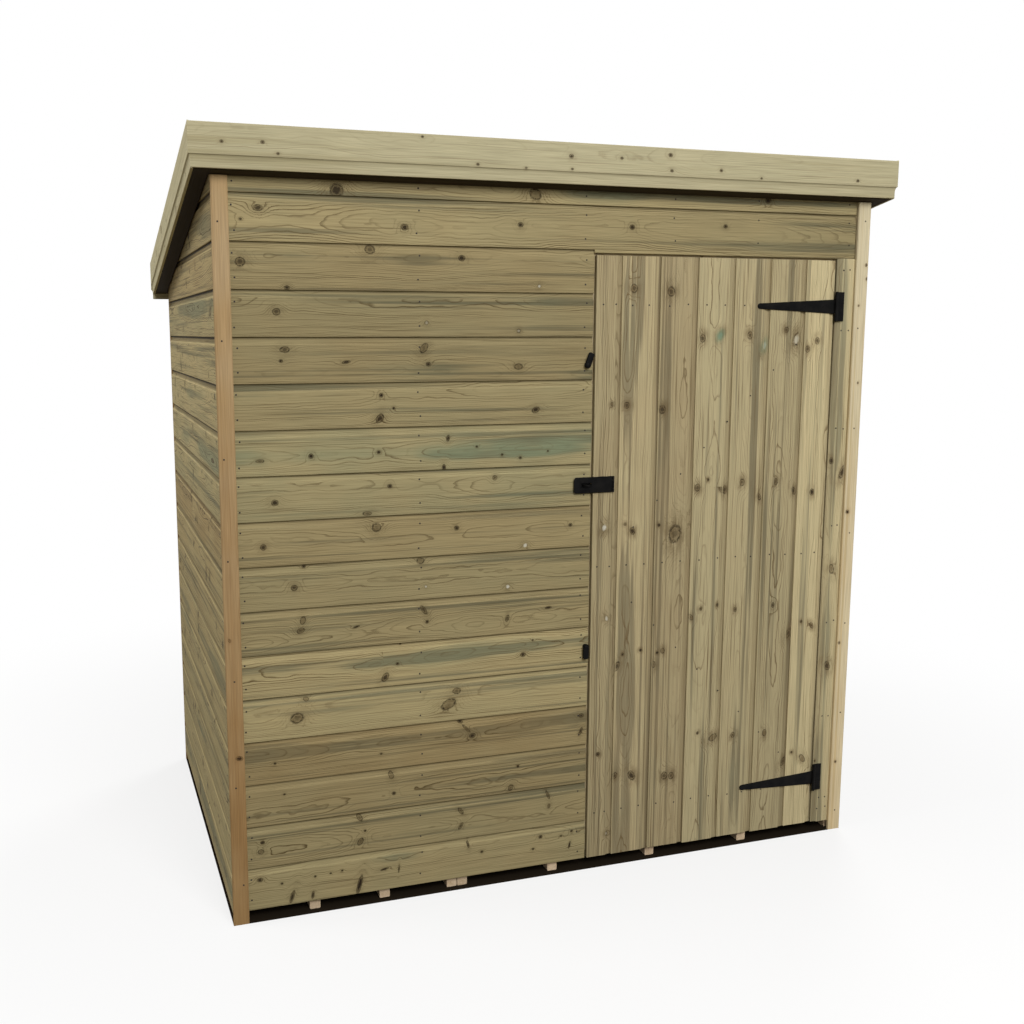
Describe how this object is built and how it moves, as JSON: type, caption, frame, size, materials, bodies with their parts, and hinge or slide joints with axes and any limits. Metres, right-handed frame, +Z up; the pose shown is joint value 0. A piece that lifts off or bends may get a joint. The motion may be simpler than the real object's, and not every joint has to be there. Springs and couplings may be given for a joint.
{
  "type": "wooden pent garden shed",
  "caption": "Wooden pent garden shed with horizontal shiplap walls, a hinged plank door with hasp and turn buttons, a single-slope felted roof and a boarded floor on bearers.",
  "frame": {"origin": "on the ground under the middle of the shed", "axes": "+X to the right seen from the front, +Y to the back, +Z up; the door is in the -Y wall"},
  "size_m": [1.934, 1.324, 1.9671],
  "materials": {
    "cladding": "planed, pressure treated",
    "trim": "planed",
    "framing": "sawn",
    "floor": "planed boards",
    "felt": "mineral",
    "ironwork": "satin black"
  },
  "bodies": {
    "shed": {"bearers_left": "framing", "bearers_right": "framing", "floor_left": "floor", "floor_right": "floor", "front_cladding": "cladding", "lintel_cladding": "cladding", "left_cladding": "cladding", "right_cladding": "cladding", "back_cladding": "cladding", "front_studs": "framing", "left_studs": "framing", "right_studs": "framing", "back_studs": "framing", "front_rails": "framing", "left_rails": "framing", "right_rails": "framing", "back_rails": "framing", "hinge_strip": "cladding", "front_trim_left": "trim", "front_trim_right": "trim", "back_trim_left": "trim", "back_trim_right": "trim", "roof_side_bars": "framing", "roof_cross_bars": "framing", "roof_purlins": "framing", "roof_deck": "floor", "roof_felt": "felt", "front_fascia": "cladding", "back_fascia": "cladding", "left_barge": "cladding", "right_barge": "cladding", "upper_hinge_plate": "ironwork", "lower_hinge_plate": "ironwork", "staple": "ironwork", "button_screws": "ironwork"},
    "door": {"door_boards": "cladding", "door_ledges": "framing", "door_braces": "framing", "upper_hinge_strap": "ironwork", "lower_hinge_strap": "ironwork", "hasp_leaf": "ironwork"},
    "flap": {"hasp_flap": "ironwork"},
    "high_button": {"upper_button": "ironwork"},
    "low_button": {"lower_button": "ironwork"}
  },
  "joints": [
    {"name": "door_hinge", "type": "hinge", "parent": "shed", "child": "door", "pos_m": [0.8165, -0.618, 0.8695], "axis": [0, 0, 1], "range_deg": [0, 160]},
    {"name": "hasp_hinge", "type": "hinge", "parent": "door", "child": "flap", "pos_m": [0.131, -0.6167, 1.091], "axis": [0, 0, 1], "range_deg": [0, 170]},
    {"name": "high_button_turn", "type": "hinge", "parent": "shed", "child": "high_button", "pos_m": [0.05, -0.62, 1.41], "axis": [0, 1, 0], "range_deg": [0, 70]},
    {"name": "low_button_turn", "type": "hinge", "parent": "shed", "child": "low_button", "pos_m": [0.058, -0.62, 0.645], "axis": [0, -1, 0], "range_deg": [0, 90]}
  ]
}
